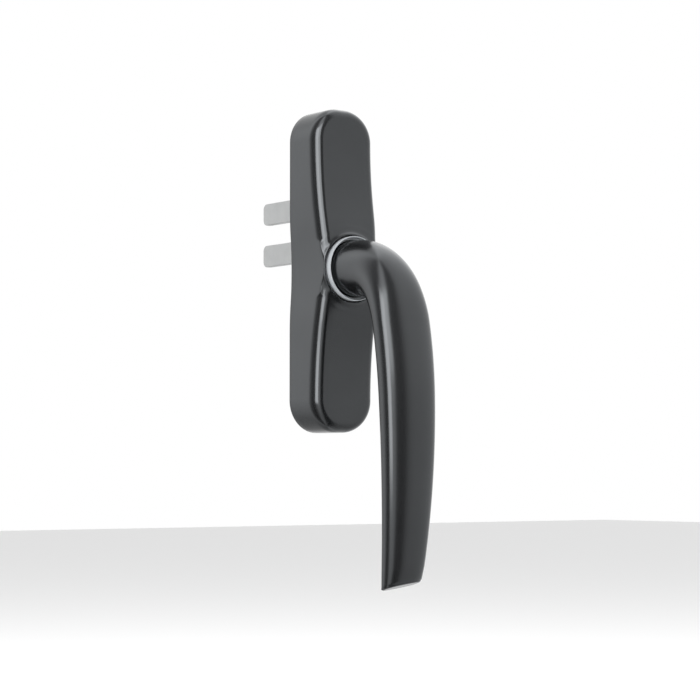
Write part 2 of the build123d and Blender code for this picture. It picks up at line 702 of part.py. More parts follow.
with BuildPart() as lever:
    for step in range(LEVER_SECTIONS + 1):
        along = lever_length() * step / LEVER_SECTIONS
        depth, height, lean = middle_line(along)
        across, sideways = Vector(0, -sin(lean), -cos(lean)), Vector(1, 0, 0)
        if step == LEVER_SECTIONS:
            sideways = Vector(1, 0, tan(radians(TIP_SIDE_SLANT)))
            outward = Vector(0, -cos(radians(TIP_SLANT)), sin(radians(TIP_SLANT)))
            across = sideways.cross(outward)
        with BuildSketch(Plane(origin=(0, -depth, height), x_dir=sideways, z_dir=across)):
            with BuildLine():
                Spline(*section_points(*section_size(along)), periodic=True)
            make_face()
    loft()
    with BuildSketch(front(SPIGOT_FROM)):
        Circle(SPIGOT_RADIUS)
    extrude(amount=NECK_FROM - SPIGOT_FROM)
    with BuildSketch(front(GROOVE_FROM)):
        Circle(SPIGOT_RADIUS + 1)
        Circle(GROOVE_RADIUS, mode=Mode.SUBTRACT)
    extrude(amount=GROOVE_TO - GROOVE_FROM, mode=Mode.SUBTRACT)
    with BuildSketch(front(SPIGOT_FROM)):
        Rectangle(SPINDLE_SIDE + FIT_GAP / 2, SPINDLE_SIDE + FIT_GAP / 2)
    extrude(amount=SPINDLE_TO + FIT_GAP - SPIGOT_FROM, mode=Mode.SUBTRACT)
    with Locations(Location((0, -PIN_DEPTH, 0), (0, 90, 0))):
        Cylinder(PIN_RADIUS, 3 * SPIGOT_RADIUS, mode=Mode.SUBTRACT)
save(lever.part, "lever")
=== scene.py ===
from math import atan2, copysign, cos, pi, radians, sin, sqrt, tan

import bmesh
import bpy
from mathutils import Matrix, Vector


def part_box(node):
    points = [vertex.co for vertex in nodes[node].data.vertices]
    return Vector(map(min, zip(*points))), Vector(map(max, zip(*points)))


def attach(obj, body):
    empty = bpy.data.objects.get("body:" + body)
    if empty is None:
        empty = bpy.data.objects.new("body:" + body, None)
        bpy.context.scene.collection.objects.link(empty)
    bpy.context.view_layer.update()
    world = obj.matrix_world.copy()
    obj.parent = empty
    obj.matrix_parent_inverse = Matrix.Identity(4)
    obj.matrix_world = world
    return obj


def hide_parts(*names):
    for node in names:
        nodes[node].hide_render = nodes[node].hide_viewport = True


# Tilt turn fork handle. The row frame is in metres: X is width, Y is depth with the room towards
# -Y, Z is up, and the origin is on the lever's axis in the back face. Shapes are worked out in
# millimetres, with "depth" counted from the back face towards the room, and place() scales them.

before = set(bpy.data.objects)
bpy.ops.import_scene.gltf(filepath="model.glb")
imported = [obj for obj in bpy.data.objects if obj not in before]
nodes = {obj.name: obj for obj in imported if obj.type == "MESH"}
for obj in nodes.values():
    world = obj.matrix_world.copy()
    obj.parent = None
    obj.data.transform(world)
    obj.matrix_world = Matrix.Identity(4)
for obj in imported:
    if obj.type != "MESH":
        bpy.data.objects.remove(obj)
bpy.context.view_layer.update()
MM = 0.001

# ---- sizes, in millimetres ----

# cover
HALF_LENGTH, HALF_WIDTH = 74.7, 17.0
WAIST, WAIST_HALF_LENGTH = 1.0, 30.0
CORNER = 15.0
WALL = 1.6
COVER_DEPTH = 20.4
RISE_START, RISE_RADIUS = 60.0, 205.0
FRONT_EDGE, FRONT_EDGE_FALL = 4.3, 5.4  # rounding of the front edge, across and down the side
BACK_EDGE = 0.25
COLLAR_RIM, COLLAR_RIM_RADIUS = 25.5, 16.3
COLLAR_FOOT, COLLAR_FOOT_RADIUS = 23.2, 19.9
COLLAR_EDGE = 0.3
COLLAR_BLEND = 0.8  # width of the soft line where the collar meets the front
COLLAR_FALL = 2.5  # slope of the collar's surface beyond its foot
OPENING, OPENING_FROM = 15.5, 21.9
OPENING_EDGE = 0.18

# neck ring
RING_BORE, RING_RADIUS, RING_SKIRT, RING_LIP = 13.0, 14.8, 13.95, 0.6
RING_MOUTH, RING_MOUTH_FROM = 13.4, 23.2
RING_FROM, RING_FLANGE_FROM, RING_FLANGE_TO, RING_TO = 19.5, 25.8, 26.7, 28.4
RING_EDGE = 0.2
RING_LIP_ROUNDING = 0.24

# lever
NECK_RADIUS, NECK_FROM, NECK_EDGE = 12.9, 24.9, 0.3
NECK_EDGE_MIDDLE = 0.3  # share of that edge where its middle row lies
SPIGOT_RADIUS, SPIGOT_FROM = 9.0, 12.9
LEVER_STRAIGHT = 2.5
LEVER_ARCS = (  # radius, and the middle line's angle from straight down at the arc's end
    (54.6, 78.5),
    (27.2, 32.0),
    (41.7, 11.0),
    (223.0, 2.6),
    (437.0, -8.33),
)
THINS_FROM, THINS_TO = 8.0, 52.0  # lengths along the middle line
WIDENS_FROM, WIDENS_TO = 16.0, 50.0
GRIP_HALF_WIDTH, GRIP_HALF_THICK = 14.45, 7.15
TIP_HALF_WIDTH, TIP_HALF_THICK = 10.2, 4.65
NECK_SQUARENESS, GRIP_SQUARENESS = 2.0, 2.6  # 2 is an ellipse, and more is nearer a rectangle
TIP_SLANT, TIP_SIDE_SLANT = 17.5, 7.0  # degrees, towards the room and across
TIP_TURNS_OVER = 12.0  # length over which the sections lean into the slanted end
TIP_EDGE = 1.2

# fork
PRONG_WIDTH, PRONG_THICK, PRONG_REACH = 10.4, 3.0, 43.5
PRONG_CORNER, PRONG_EDGE, PRONG_SHOULDER = 2.6, 0.35, 1.0
CARRIAGE_FROM, CARRIAGE_TO = 1.7, 4.2

# ---- how finely the meshes are cut ----
WAIST_STEPS, SIDE_STEPS, CORNER_STEPS, END_STEPS = 44, 32, 44, 4  # around a quarter of the cover
FRONT_EDGE_STEPS = 16
FACE_STEPS, RIM_STEPS = 26, 30  # rows on the front, far from the opening and near it
RIM_REACH, RIM_SHARE = 5.4, 0.8  # how far the near rows reach: millimetres, or share of the front
HOLLOW_STEPS = 12
LARGEST_EDGE_SHARE = 0.96  # most of the way to the opening that the front edge may take
WALL_SHARES = (0.25, 0.5, 0.75, 0.93)  # heights of the rows on the cover's side
RING_SEGMENTS = 192
EDGE_STEPS, LIP_STEPS, TIP_STEPS = 3, 5, 6  # rows over a small edge, the ring's lip, the tip's edge
LEVER_COLUMNS, LEVER_ROWS = 96, 230
CAP_SHARES = (0.75, 0.45, 0.15)  # sizes of the rows on the lever's end
PRONG_CORNER_STEPS = 10
MERGE_DISTANCE, SHORTEST_EDGE = 1e-7, 1e-8  # metres


# ---- mesh helpers ----
def place(x, depth, z):
    """A point of the row frame in metres, from millimetres."""
    return (x * MM, -depth * MM, z * MM)


def ring_mesh(name, rings, joined=False, caps=False):
    """A mesh skinned over closed rings of equal length, each a list of row frame points.

    joined closes the last ring onto the first. caps closes both ends with a face.
    """
    count = len(rings[0])
    points = [point for ring in rings for point in ring]
    faces = []
    steps = len(rings) if joined else len(rings) - 1
    for row in range(steps):
        above = (row + 1) % len(rings)
        for column in range(count):
            beside = (column + 1) % count
            faces.append(
                (
                    row * count + column,
                    row * count + beside,
                    above * count + beside,
                    above * count + column,
                )
            )
    if caps:
        last = (len(rings) - 1) * count
        faces.append(tuple(range(count)))
        faces.append(tuple(range(last, last + count)))
    mesh = bpy.data.meshes.new(name)
    mesh.from_pydata(points, [], faces)
    return finish_mesh(name, mesh)


def finish_mesh(name, mesh):
    """Clean and smooth a new mesh, and put its object in the scene."""
    work = bmesh.new()
    work.from_mesh(mesh)
    bmesh.ops.remove_doubles(work, verts=work.verts, dist=MERGE_DISTANCE)
    bmesh.ops.dissolve_degenerate(work, dist=SHORTEST_EDGE, edges=work.edges)
    bmesh.ops.recalc_face_normals(work, faces=work.faces)
    for face in work.faces:
        face.smooth = True
    work.to_mesh(mesh)
    work.free()
    piece = bpy.data.objects.new(name, mesh)
    bpy.context.scene.collection.objects.link(piece)
    return piece


def circle_points(radius, depth, segments):
    """Points around the lever's axis at one depth, in the row frame."""
    turns = [2 * pi * step / segments for step in range(segments)]
    return [place(radius * cos(turn), depth, radius * sin(turn)) for turn in turns]


def turned(name, profile, segments):
    """A solid of revolution about the lever's axis. profile is a closed list of (radius, depth)."""
    rings = [circle_points(radius, depth, segments) for radius, depth in profile]
    return ring_mesh(name, rings, joined=True)


def sharpen(piece, degrees):
    """Keep edges steeper than this crisp under smooth shading."""
    work = bmesh.new()
    work.from_mesh(piece.data)
    limit = radians(degrees)
    for edge in work.edges:
        if len(edge.link_faces) == 2 and edge.calc_face_angle(0) > limit:
            edge.smooth = False
    work.to_mesh(piece.data)
    work.free()
    return piece


def rounded(radius, steps):
    """Sine and one minus cosine of evenly spaced turns over a quarter circle, times radius."""
    turns = [pi / 2 * step / steps for step in range(steps + 1)]
    return [(radius * sin(turn), radius * (1 - cos(turn))) for turn in turns]


def soft_max(a, b, width):
    """The larger of two values, with a soft change from one to the other."""
    return 0.5 * (a + b + sqrt((a - b) ** 2 + width * width))


def ease(value, start, stop):
    """Smooth step from 0 at start to 1 at stop."""
    t = min(max((value - start) / (stop - start), 0), 1)
    return t * t * (3 - 2 * t)


# ---- cover ----
def front_depth(z):
    """Depth of the cover's front at a height: flat ends, a hollow rise, and a crest."""
    rise = COLLAR_RIM - COVER_DEPTH
    lean = 2 * atan2(rise, RISE_START)
    hollow_end = RISE_START - RISE_RADIUS * sin(lean)
    crest_radius = hollow_end / sin(lean)
    away = abs(z)
    if away >= RISE_START:
        return COVER_DEPTH
    if away >= hollow_end:
        return COVER_DEPTH + RISE_RADIUS - sqrt(RISE_RADIUS**2 - (RISE_START - away) ** 2)
    return COLLAR_RIM - crest_radius + sqrt(crest_radius**2 - away**2)


def edge_drop(inset, across, fall):
    """How far a rounded edge is below the face it rounds, at this distance from the side."""
    left = max(1 - inset / across, 0.0)
    return fall * (1 - sqrt(max(1 - left * left, 0.0)))


def collar_depth(distance):
    """Depth of the flared collar at this distance from the lever's axis."""
    across = COLLAR_FOOT_RADIUS - COLLAR_RIM_RADIUS
    rise = COLLAR_RIM - COLLAR_FOOT
    flare = (across**2 + rise**2) / (2 * rise)
    if distance >= COLLAR_FOOT_RADIUS:
        return COLLAR_FOOT - COLLAR_FALL * (distance - COLLAR_FOOT_RADIUS)
    if distance >= COLLAR_RIM_RADIUS:
        away = COLLAR_FOOT_RADIUS - distance
        depth = COLLAR_FOOT + flare - sqrt(flare**2 - away**2)
    else:
        slope = across / sqrt(flare**2 - across**2)
        depth = COLLAR_RIM + (COLLAR_RIM_RADIUS - distance) * slope
    return -soft_max(-depth, -COLLAR_RIM, COLLAR_EDGE)


def cover_depth(x, z, inset):
    """Depth of the cover's outer face at a point this far inside its outline."""
    block = front_depth(z) - edge_drop(inset, FRONT_EDGE, FRONT_EDGE_FALL)
    collar = collar_depth(sqrt(x * x + z * z)) - edge_drop(inset, COLLAR_EDGE, COLLAR_EDGE)
    return soft_max(block, collar, COLLAR_BLEND)


def quarter_outline():
    """Points of the outline from the waist to the end's middle, each with its inward normal."""
    points = []
    # The waist is a Bezier curve, and its derivative (dx, dz) gives the normal.
    for step in range(WAIST_STEPS):
        t = step / WAIST_STEPS
        s = 1 - t
        x = HALF_WIDTH - WAIST * (s**3 + 3 * s * s * t)
        z = WAIST_HALF_LENGTH * (3 * s * s * t / 2 + 3 * s * t * t / 2 + t**3)
        dx = WAIST * 6 * s * t
        dz = WAIST_HALF_LENGTH * 1.5 * (s * s + t * t)
        size = sqrt(dx * dx + dz * dz)
        points.append((x, z, -dz / size, dx / size))
    shoulder = HALF_LENGTH - CORNER
    for step in range(SIDE_STEPS):
        z = WAIST_HALF_LENGTH + (shoulder - WAIST_HALF_LENGTH) * step / SIDE_STEPS
        points.append((HALF_WIDTH, z, -1.0, 0.0))
    for step in range(CORNER_STEPS):
        turn = pi / 2 * step / CORNER_STEPS
        x = HALF_WIDTH - CORNER + CORNER * cos(turn)
        points.append((x, shoulder + CORNER * sin(turn), -cos(turn), -sin(turn)))
    for step in range(END_STEPS + 1):
        x = (HALF_WIDTH - CORNER) * (1 - step / END_STEPS)
        points.append((x, HALF_LENGTH, 0.0, -1.0))
    return points


def cover_outline():
    """The whole outline, anticlockwise as the room sees it, as (x, z, inward x, inward z)."""
    first = quarter_outline()
    second = [(-x, z, -nx, nz) for x, z, nx, nz in reversed(first[:-1])]
    upper = first + second
    lower = [(-x, -z, -nx, -nz) for x, z, nx, nz in upper[1:-1]]
    return upper + lower


def room_inwards(x, z, nx, nz):
    """Distance along the inward normal to the opening's circle, or a long way if it misses."""
    along = x * nx + z * nz
    square = along * along - (x * x + z * z - OPENING**2)
    if along >= 0 or square < 0:
        return HALF_LENGTH
    return -along - sqrt(square)


def side_points(x, z, nx, nz):
    """The cover's side, from its rounded back rim to just below the front edge."""
    top = cover_depth(x, z, 0.0)
    line = []
    for along, depth in rounded(BACK_EDGE, EDGE_STEPS):
        inset = BACK_EDGE - along
        line.append((x + nx * inset, depth, z + nz * inset))
    for share in WALL_SHARES:
        line.append((x, BACK_EDGE + (top - BACK_EDGE) * share, z))
    return line


def front_edge_points(x, z, nx, nz, reach):
    """The rounded front edge, over this reach from the side."""
    line = []
    for step in range(FRONT_EDGE_STEPS + 1):
        inset = reach * (1 - cos(pi / 2 * step / FRONT_EDGE_STEPS))
        px, pz = x + nx * inset, z + nz * inset
        line.append((px, cover_depth(px, pz, inset), pz))
    return line


def face_points(ux, uz, start, reach):
    """The front, along one direction from the lever's axis, from start to the opening's rim."""
    rim = OPENING + OPENING_EDGE
    length = start - rim
    near = min(RIM_REACH, RIM_SHARE * length)
    far_rows = range(1, FACE_STEPS)
    near_rows = range(RIM_STEPS + 1)
    lengths = [near + (length - near) * (1 - step / FACE_STEPS) for step in far_rows]
    lengths += [near * (1 - step / RIM_STEPS) for step in near_rows]
    line = []
    for away in lengths:
        distance = rim + away
        # Where the opening leaves too little room for the edge, its rounding goes on inwards.
        inset = FRONT_EDGE if reach >= FRONT_EDGE else reach + (start - distance)
        px, pz = ux * distance, uz * distance
        line.append((px, cover_depth(px, pz, inset), pz))
    return line


def opening_edge_points(ux, uz, rim_depth):
    """The small rounding from the front into the opening."""
    line = []
    for along, drop in rounded(OPENING_EDGE, EDGE_STEPS)[1:]:
        distance = OPENING + OPENING_EDGE - along
        line.append((ux * distance, rim_depth - drop, uz * distance))
    return line


def inside_points(ux, uz, ix, iz):
    """The opening's wall, then the ceiling and wall of the hollow, down to the back rim."""
    ox, oz = ux * OPENING, uz * OPENING
    cut_through = ix * ix + iz * iz < OPENING**2
    floor = OPENING_FROM if cut_through else front_depth(oz) - WALL
    line = [(ox, floor, oz)]
    for step in range(1, HOLLOW_STEPS + 1):
        cx = ox + (ix - ox) * step / HOLLOW_STEPS
        cz = oz + (iz - oz) * step / HOLLOW_STEPS
        line.append((cx, floor if cut_through else front_depth(cz) - WALL, cz))
    line.append((ix, line[-1][1] / 2, iz))
    line.append((ix, 0.0, iz))
    return line


def cover_section(x, z, nx, nz):
    """One closed line of the cover's shell, from the back rim over the front and back inside."""
    reach = min(FRONT_EDGE, LARGEST_EDGE_SHARE * room_inwards(x, z, nx, nz))
    line = side_points(x, z, nx, nz)
    line += front_edge_points(x, z, nx, nz, reach)
    px, pz = line[-1][0], line[-1][2]
    start = sqrt(px * px + pz * pz)
    ux, uz = px / start, pz / start
    line += face_points(ux, uz, start, reach)
    line += opening_edge_points(ux, uz, line[-1][1])
    line += inside_points(ux, uz, x + nx * WALL, z + nz * WALL)
    return line


def make_cover():
    """The shell: one closed section for each point of the outline, skinned together."""
    sections = [cover_section(*point) for point in cover_outline()]
    rings = [[place(*point) for point in ring] for ring in zip(*sections)]
    return sharpen(ring_mesh("cover_shell", rings, joined=True), degrees=50)


# ---- neck ring ----
def make_neck_ring():
    """The moulded ring: a skirt, a flange and a thin rounded lip around the lever's neck."""
    lip_inside = RING_RADIUS - RING_LIP
    lip_round_from = RING_TO - RING_LIP_ROUNDING
    lip_round = rounded(RING_LIP_ROUNDING, LIP_STEPS)
    edge = rounded(RING_EDGE, EDGE_STEPS)
    profile = [(RING_BORE, RING_FROM), (RING_SKIRT, RING_FROM), (RING_SKIRT, RING_FLANGE_FROM)]
    profile += [(RING_RADIUS - RING_EDGE + a, RING_FLANGE_FROM + b) for a, b in edge]
    profile += [(RING_RADIUS, lip_round_from)]
    profile += [(RING_RADIUS - b, lip_round_from + a) for a, b in lip_round[1:]]
    profile += [(lip_inside + b, lip_round_from + a) for a, b in reversed(lip_round)]
    profile += [(lip_inside, RING_FLANGE_TO + RING_EDGE)]
    profile += [(lip_inside - RING_EDGE, RING_FLANGE_TO), (RING_MOUTH, RING_FLANGE_TO)]
    profile += [(RING_MOUTH, RING_MOUTH_FROM), (RING_BORE, RING_MOUTH_FROM)]
    return sharpen(turned("neck_ring_sleeve", profile, RING_SEGMENTS), degrees=40)


# ---- lever ----
def lever_length():
    """Length of the lever's middle line."""
    length, lean = LEVER_STRAIGHT, 90.0
    for radius, end_lean in LEVER_ARCS:
        length += radius * radians(lean - end_lean)
        lean = end_lean
    return length


def middle_line(along):
    """Depth, height and lean of the lever's middle line, this far along it."""
    depth, height, lean = NECK_FROM + min(along, LEVER_STRAIGHT), 0.0, pi / 2
    left = along - LEVER_STRAIGHT
    for radius, end_lean in LEVER_ARCS:
        if left <= 0:
            break
        turn = min(left / radius, lean - radians(end_lean))
        depth += radius * (cos(lean - turn) - cos(lean))
        height -= radius * (sin(lean) - sin(lean - turn))
        lean -= turn
        left -= radius * turn
    return depth, height, lean


def section_size(along):
    """Half width, half thickness and squareness of the lever's section."""
    thinned = ease(along, THINS_FROM, THINS_TO)
    widened = ease(along, WIDENS_FROM, WIDENS_TO)
    taper = max(0.0, (along - THINS_TO) / (lever_length() - THINS_TO)) ** 2
    width = NECK_RADIUS + (GRIP_HALF_WIDTH - NECK_RADIUS) * widened
    thick = NECK_RADIUS + (GRIP_HALF_THICK - NECK_RADIUS) * thinned
    return (
        width - (GRIP_HALF_WIDTH - TIP_HALF_WIDTH) * taper,
        thick - (GRIP_HALF_THICK - TIP_HALF_THICK) * taper,
        NECK_SQUARENESS + (GRIP_SQUARENESS - NECK_SQUARENESS) * thinned,
    )


def lever_ring(along, inset=0.0, back=0.0):
    """One closed line around the lever, drawn in by inset and moved back from the end."""
    depth, height, lean = middle_line(along)
    width, thick, squareness = section_size(along)
    length = lever_length()
    slant = ease(along, length - TIP_TURNS_OVER, length)
    side_rise = tan(radians(TIP_SIDE_SLANT)) * slant
    lean += (radians(TIP_SLANT) - lean) * slant
    ring = []
    for step in range(LEVER_COLUMNS):
        turn = 2 * pi * step / LEVER_COLUMNS
        c, s = cos(turn), sin(turn)
        x = copysign(abs(c) ** (2 / squareness), c) * (width - inset)
        y = copysign(abs(s) ** (2 / squareness), s) * (thick - inset)
        ring.append(
            place(
                x,
                depth + y * cos(lean) - back * sin(lean),
                height + y * sin(lean) + back * cos(lean) + x * side_rise,
            )
        )
    return ring


def make_lever():
    """The spigot, the neck's shoulder, the arched grip and its rounded, slanted end."""
    shoulder_in = NECK_EDGE_MIDDLE * NECK_EDGE
    rings = [
        circle_points(radius, depth, LEVER_COLUMNS)
        for radius, depth in (
            (SPIGOT_RADIUS, SPIGOT_FROM),
            (SPIGOT_RADIUS, NECK_FROM),
            (NECK_RADIUS - NECK_EDGE, NECK_FROM),
            (NECK_RADIUS - shoulder_in, NECK_FROM + shoulder_in),
        )
    ]
    length = lever_length()
    start, stop = NECK_EDGE, length - TIP_EDGE
    for step in range(LEVER_ROWS + 1):
        rings.append(lever_ring(start + (stop - start) * step / LEVER_ROWS))
    for along, inset in rounded(TIP_EDGE, TIP_STEPS)[1:]:
        rings.append(lever_ring(length, inset, TIP_EDGE - along))
    for share in CAP_SHARES:
        rings.append(lever_ring(length, TIP_HALF_THICK * (1 - share) + TIP_EDGE * share))
    return sharpen(ring_mesh("lever_arm", rings, caps=True), degrees=60)


# ---- fork ----
def make_prong(name, node):
    """A flat blade with rounded outer corners, narrower where it sits in the carriage."""
    low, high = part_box(node)
    middle = (low.z + high.z) / 2 / MM
    half = PRONG_WIDTH / 2
    outline = []
    for step in range(PRONG_CORNER_STEPS + 1):
        turn = pi / 2 * step / PRONG_CORNER_STEPS
        y = PRONG_REACH - PRONG_CORNER + PRONG_CORNER * sin(turn)
        outline.append((y, half - PRONG_CORNER + PRONG_CORNER * cos(turn)))
    outline += [(y, -z) for y, z in reversed(outline)]
    shoulder = half - PRONG_SHOULDER
    outline += [
        (-CARRIAGE_FROM, -half),
        (-CARRIAGE_FROM, -shoulder),
        (-CARRIAGE_TO, -shoulder),
        (-CARRIAGE_TO, shoulder),
        (-CARRIAGE_FROM, shoulder),
        (-CARRIAGE_FROM, half),
    ]
    rings = []
    for x in (-PRONG_THICK / 2, PRONG_THICK / 2):
        rings.append([place(x, -y, middle + z) for y, z in outline])
    prong = ring_mesh(name, rings, caps=True)
    bevel = prong.modifiers.new("edges", "BEVEL")
    bevel.width = PRONG_EDGE * MM
    bevel.segments = 3
    bevel.limit_method = "ANGLE"
    bevel.angle_limit = radians(40)
    bevel.harden_normals = True
    return sharpen(prong, degrees=40)


# ---- materials ----
NOISE_SPREAD = 0.2  # half of the range that most of a noise's values are in
COLOUR_SPREAD = 0.35
GRAIN_IN_COLOUR = 0.35  # share of the fine grain in the colour drift


def new_material(name):
    """A new material with its node tree and its shader."""
    material = bpy.data.materials.new(name)
    material.use_nodes = True
    tree = material.node_tree
    shader = tree.nodes["Principled BSDF"]
    return material, tree, shader


def noise(tree, vector, scale):
    """A noise of this many repeats per metre."""
    node = tree.nodes.new("ShaderNodeTexNoise")
    node.inputs["Scale"].default_value = scale
    node.inputs["Detail"].default_value = 3.0
    tree.links.new(vector, node.inputs["Vector"])
    return node.outputs["Fac"]


def spread(tree, value, low, high, half_range):
    """Values within half_range of 0.5, spread over low to high."""
    node = tree.nodes.new("ShaderNodeMapRange")
    node.inputs["From Min"].default_value = 0.5 - half_range
    node.inputs["From Max"].default_value = 0.5 + half_range
    node.inputs["To Min"].default_value = low
    node.inputs["To Max"].default_value = high
    tree.links.new(value, node.inputs["Value"])
    return node.outputs["Result"]


def weighted_sum(tree, first, share, second):
    """first times share, plus second."""
    node = tree.nodes.new("ShaderNodeMath")
    node.operation = "MULTIPLY_ADD"
    node.inputs[1].default_value = share
    tree.links.new(first, node.inputs[0])
    tree.links.new(second, node.inputs[2])
    return node.outputs["Value"]


def average(tree, first, second):
    """The mean of two values."""
    added = tree.nodes.new("ShaderNodeMath")
    added.operation = "ADD"
    tree.links.new(first, added.inputs[0])
    tree.links.new(second, added.inputs[1])
    halved = tree.nodes.new("ShaderNodeMath")
    halved.operation = "MULTIPLY"
    halved.inputs[1].default_value = 0.5
    tree.links.new(added.outputs["Value"], halved.inputs[0])
    return halved.outputs["Value"]


def blend_colours(tree, factor, first, second):
    """A colour from first at factor 0 to second at factor 1."""
    node = tree.nodes.new("ShaderNodeMix")
    node.data_type = "RGBA"
    node.inputs["A"].default_value = (*first, 1)
    node.inputs["B"].default_value = (*second, 1)
    tree.links.new(factor, node.inputs["Factor"])
    return node.outputs["Result"]


def finish_material(
    name,
    dark,
    light,
    metallic,
    rough,
    grain,
    bump,
    cloud=35.0,
    stretch=(1.0, 1.0, 1.0),
):
    """A surface whose colour drifts slowly and whose gloss and relief have a fine grain.

    dark and light are the ends of the colour drift and rough the ends of the roughness. grain and
    cloud are the pattern's sizes, as repeats per metre, and bump is the relief in metres.
    stretch pulls the grain out, as brushing or rolling does.
    """
    material, tree, shader = new_material(name)
    here = tree.nodes.new("ShaderNodeTexCoord")
    mapping = tree.nodes.new("ShaderNodeMapping")
    mapping.inputs["Scale"].default_value = stretch
    tree.links.new(here.outputs["Object"], mapping.inputs["Vector"])
    fine = noise(tree, mapping.outputs["Vector"], grain)
    slow = noise(tree, here.outputs["Object"], cloud)

    drift = weighted_sum(tree, fine, GRAIN_IN_COLOUR, slow)
    factor = spread(tree, drift, 0.0, 1.0, COLOUR_SPREAD)
    tree.links.new(blend_colours(tree, factor, dark, light), shader.inputs["Base Color"])

    gloss = spread(tree, average(tree, fine, slow), *rough, NOISE_SPREAD)
    tree.links.new(gloss, shader.inputs["Roughness"])

    relief = tree.nodes.new("ShaderNodeBump")
    relief.inputs["Strength"].default_value = 1.0
    relief.inputs["Distance"].default_value = bump
    tree.links.new(fine, relief.inputs["Height"])
    tree.links.new(relief.outputs["Normal"], shader.inputs["Normal"])
    shader.inputs["Metallic"].default_value = metallic
    return material


def grey(level, tint=0.0):
    """A neutral colour, a little blue where tint is above 0."""
    return (level * (1 - tint), level, level * (1 + tint))


DARK_SATIN, LIGHT_SATIN = grey(0.112, 0.04), grey(0.13, 0.04)

cover_metal = finish_material(
    "satin_dark_cover",
    dark=DARK_SATIN,
    light=LIGHT_SATIN,
    metallic=0.97,
    rough=(0.15, 0.2),
    grain=2600.0,
    bump=0.0000012,
)
lever_metal = finish_material(
    "satin_dark_lever",
    dark=DARK_SATIN,
    light=LIGHT_SATIN,
    metallic=0.97,
    rough=(0.19, 0.24),
    grain=2600.0,
    bump=0.0000012,
)
cast_metal = finish_material(
    "cast_housing_metal",
    dark=grey(0.36),
    light=grey(0.46),
    metallic=0.9,
    rough=(0.42, 0.6),
    grain=1100.0,
    bump=0.00003,
    cloud=120.0,
)
zinc_plate = finish_material(
    "zinc_plated_sheet",
    dark=(0.55, 0.57, 0.6),
    light=(0.68, 0.69, 0.7),
    metallic=0.95,
    rough=(0.25, 0.42),
    grain=900.0,
    bump=0.000006,
    cloud=160.0,
    stretch=(6.0, 1.0, 0.35),
)
zinc_screws = finish_material(
    "zinc_plated_screws",
    dark=(0.6, 0.61, 0.63),
    light=(0.74, 0.74, 0.74),
    metallic=1.0,
    rough=(0.2, 0.34),
    grain=1500.0,
    bump=0.000006,
    cloud=220.0,
)
prong_zinc = finish_material(
    "matte_zinc_prongs",
    dark=(0.5, 0.51, 0.51),
    light=(0.62, 0.63, 0.63),
    metallic=0.75,
    rough=(0.42, 0.55),
    grain=1300.0,
    bump=0.00002,
    cloud=160.0,
    stretch=(1.0, 0.5, 1.0),
)
spring_steel = finish_material(
    "spring_steel",
    dark=(0.38, 0.4, 0.43),
    light=(0.5, 0.51, 0.53),
    metallic=1.0,
    rough=(0.22, 0.35),
    grain=900.0,
    bump=0.000005,
    stretch=(1.0, 1.0, 0.2),
)
gear_steel = finish_material(
    "hardened_gear_steel",
    dark=(0.33, 0.33, 0.34),
    light=(0.45, 0.45, 0.46),
    metallic=1.0,
    rough=(0.3, 0.45),
    grain=1200.0,
    bump=0.00001,
)
ring_plastic = finish_material(
    "pale_grey_ring_plastic",
    dark=(0.36, 0.38, 0.4),
    light=(0.42, 0.44, 0.46),
    metallic=0.0,
    rough=(0.3, 0.4),
    grain=1800.0,
    bump=0.000006,
)
acetal = finish_material(
    "natural_acetal",
    dark=(0.72, 0.71, 0.67),
    light=(0.8, 0.79, 0.76),
    metallic=0.0,
    rough=(0.38, 0.5),
    grain=1500.0,
    bump=0.000008,
)
seal_rubber = finish_material(
    "black_seal_rubber",
    dark=grey(0.018),
    light=grey(0.03),
    metallic=0.0,
    rough=(0.6, 0.75),
    grain=1500.0,
    bump=0.00002,
)


def paint(piece, material):
    """Make this the only material of a piece."""
    piece.data.materials.clear()
    piece.data.materials.append(material)


NODE_FINISH = {
    "body": cast_metal,
    "back_plate": zinc_plate,
    "back_plate_screws": zinc_screws,
    "fixing_screws": zinc_screws,
    "screw_seals": seal_rubber,
    "cover_clip_upper": spring_steel,
    "cover_clip_lower": spring_steel,
    "neck_bush": acetal,
    "click_spring_left": spring_steel,
    "click_spring_right": spring_steel,
    "spindle": gear_steel,
    "spindle_pin": gear_steel,
    "drive_pinion": gear_steel,
    "retaining_ring": spring_steel,
    "thrust_washer": zinc_plate,
    "wave_washer": spring_steel,
    "drive_rack": gear_steel,
    "carriage_glide": acetal,
}
for node_name, material in NODE_FINISH.items():
    paint(nodes[node_name], material)

# ---- pieces: the object, its body, the node it replaces, its slot and its material ----
PIECES = (
    (make_cover(), "base", "cover", "cover_metal", cover_metal),
    (make_neck_ring(), "base", "neck_ring", "ring_plastic", ring_plastic),
    (make_lever(), "handle", "lever", "lever_metal", lever_metal),
    (
        make_prong("prong_blade_upper", "fork_prong_upper"),
        "carriage",
        "fork_prong_upper",
        "prong_zinc",
        prong_zinc,
    ),
    (
        make_prong("prong_blade_lower", "fork_prong_lower"),
        "carriage",
        "fork_prong_lower",
        "prong_zinc",
        prong_zinc,
    ),
)
for piece, body, replaced, slot, material in PIECES:
    paint(piece, material)
    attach(piece, body)
    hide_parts(replaced)

# ---- floor ----
FLOOR_SIZE, FLOOR_HEIGHT = 12.0, -0.3  # metres
bpy.ops.mesh.primitive_plane_add(size=FLOOR_SIZE, location=(0, 0, FLOOR_HEIGHT))
floor = bpy.context.object
floor.name = "studio_floor"
floor.visible_glossy = False
floor_material, _, floor_shader = new_material("pale_floor")
floor_shader.inputs["Base Color"].default_value = (0.92, 0.92, 0.92, 1)
floor_shader.inputs["Roughness"].default_value = 0.9
paint(floor, floor_material)

